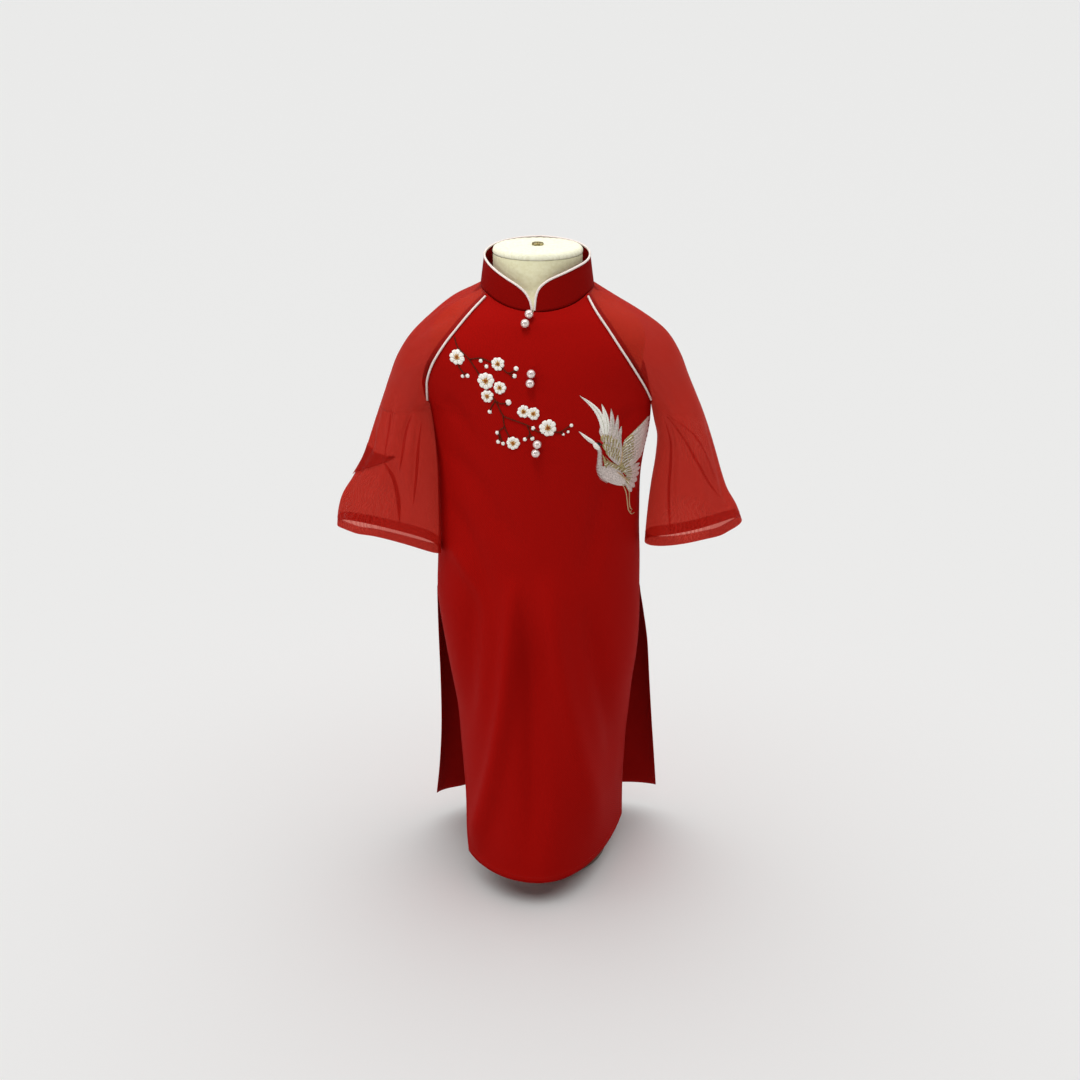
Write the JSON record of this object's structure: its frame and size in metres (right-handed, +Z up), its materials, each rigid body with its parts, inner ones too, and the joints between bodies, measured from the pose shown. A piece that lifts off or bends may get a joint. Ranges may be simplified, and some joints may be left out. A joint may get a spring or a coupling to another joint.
{
  "type": "child's ao dai tunic on a limbless dress form with a stand",
  "caption": "Long red panelled tunic with a stand-up collar, sheer raglan elbow sleeves and open side slits, worn by a linen limbless dress form on a wooden stand.",
  "frame": {"origin": "middle of the stand base's flat underside, on the stand's axis", "axes": "+Z up along the stand's pole, the front of the tunic faces -Y, and the wearer's right is -X"},
  "size_m": [0.4623, 0.2537, 0.7657],
  "materials": {
    "crepe": "matte woven crepe",
    "organza": "sheer plain-woven organza",
    "piping": "satin bias piping",
    "pearl": "pearlescent lacquer",
    "linen": "plain linen cover",
    "cap": "pale linen cover",
    "brass": "aged brass",
    "wood": "satin varnish"
  },
  "bodies": {
    "root": {"front_panel": "crepe", "back_panel": "crepe", "collar": "crepe", "sleeve_left": "organza", "sleeve_right": "organza", "collar_piping": "piping", "piping_left": "piping", "piping_right": "piping", "pearl_1": "pearl", "pearl_2": "pearl", "pearl_3": "pearl", "pearl_4": "pearl", "pearl_5": "pearl", "pearl_6": "pearl", "dress_form": "linen", "neck_cap": "cap", "neck_fitting": "brass", "stand_pole": "wood", "stand_base": "wood"}
  },
  "joints": []
}
